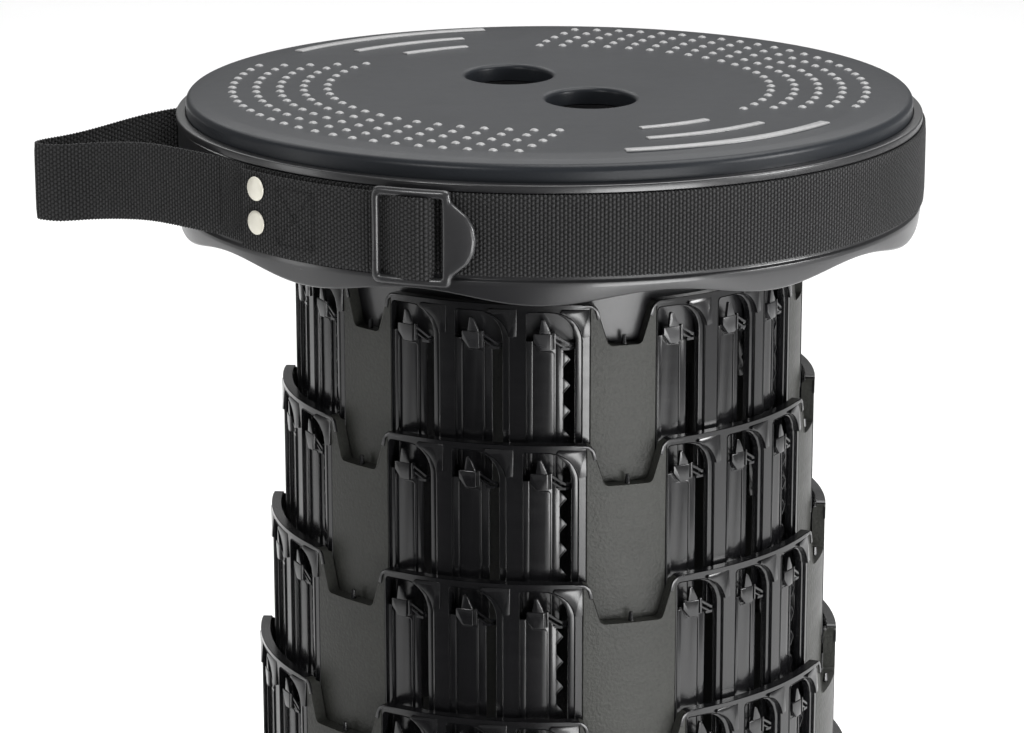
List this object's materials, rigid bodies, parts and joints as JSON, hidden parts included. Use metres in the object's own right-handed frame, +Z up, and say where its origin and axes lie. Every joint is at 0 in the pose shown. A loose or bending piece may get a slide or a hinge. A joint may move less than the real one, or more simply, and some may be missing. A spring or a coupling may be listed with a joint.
{
  "type": "collapsible telescopic stool",
  "caption": "Round camping stool that folds flat: a cap seat with finger holes and a carrying strap on nested telescoping rings with windows and lugs, over a low base tray.",
  "frame": {"origin": "underside of the middle foot pad, on the floor under the stool's axis", "axes": "+Z up along the axis that the rings slide on; -Y to the side that the picture shows, +X to its right"},
  "size_m": [0.2963, 0.2563, 0.4361],
  "materials": {
    "cap_plastic": "satin, fine grain",
    "tray_plastic": "satin",
    "ring_plastic": "half gloss",
    "buckle_plastic": "satin",
    "webbing": "ribbed webbing",
    "rivet_metal": "plain bright",
    "screw_steel": "plain",
    "rubber": "matt"
  },
  "bodies": {
    "stand": {"base_tray": "tray_plastic", "base_screw_1": "screw_steel", "base_screw_2": "screw_steel", "base_screw_3": "screw_steel", "foot_pad_middle": "rubber", "foot_pad_1": "rubber", "foot_pad_2": "rubber", "foot_pad_3": "rubber", "foot_pad_4": "rubber", "foot_pad_5": "rubber", "foot_pad_6": "rubber", "ring_8": "ring_plastic"},
    "stage_7": {"ring_7": "ring_plastic"},
    "stage_6": {"ring_6": "ring_plastic"},
    "stage_5": {"ring_5": "ring_plastic"},
    "stage_4": {"ring_4": "ring_plastic"},
    "stage_3": {"ring_3": "ring_plastic"},
    "stage_2": {"ring_2": "ring_plastic"},
    "stage_1": {"ring_1": "ring_plastic"},
    "seat": {"seat_cap": "cap_plastic", "seat_tray": "tray_plastic", "strap_belt": "webbing", "strap_lap": "webbing", "buckle": "buckle_plastic", "rivet_lower": "rivet_metal", "rivet_upper": "rivet_metal", "seat_screw_1": "screw_steel", "seat_screw_2": "screw_steel", "seat_screw_3": "screw_steel"}
  },
  "joints": [
    {"name": "slide_7", "type": "slide", "parent": "stand", "child": "stage_7", "axis": [0, 0, 1], "range_m": [-0.0452, 0]},
    {"name": "slide_6", "type": "slide", "parent": "stage_7", "child": "stage_6", "axis": [0, 0, 1], "range_m": [-0.0452, 0]},
    {"name": "slide_5", "type": "slide", "parent": "stage_6", "child": "stage_5", "axis": [0, 0, 1], "range_m": [-0.0452, 0]},
    {"name": "slide_4", "type": "slide", "parent": "stage_5", "child": "stage_4", "axis": [0, 0, 1], "range_m": [-0.0452, 0]},
    {"name": "slide_3", "type": "slide", "parent": "stage_4", "child": "stage_3", "axis": [0, 0, 1], "range_m": [-0.0452, 0]},
    {"name": "slide_2", "type": "slide", "parent": "stage_3", "child": "stage_2", "axis": [0, 0, 1], "range_m": [-0.0452, 0]},
    {"name": "slide_1", "type": "slide", "parent": "stage_2", "child": "stage_1", "axis": [0, 0, 1], "range_m": [-0.0452, 0]},
    {"name": "slide_seat", "type": "slide", "parent": "stage_1", "child": "seat", "axis": [0, 0, 1], "range_m": [-0.0452, 0]}
  ]
}
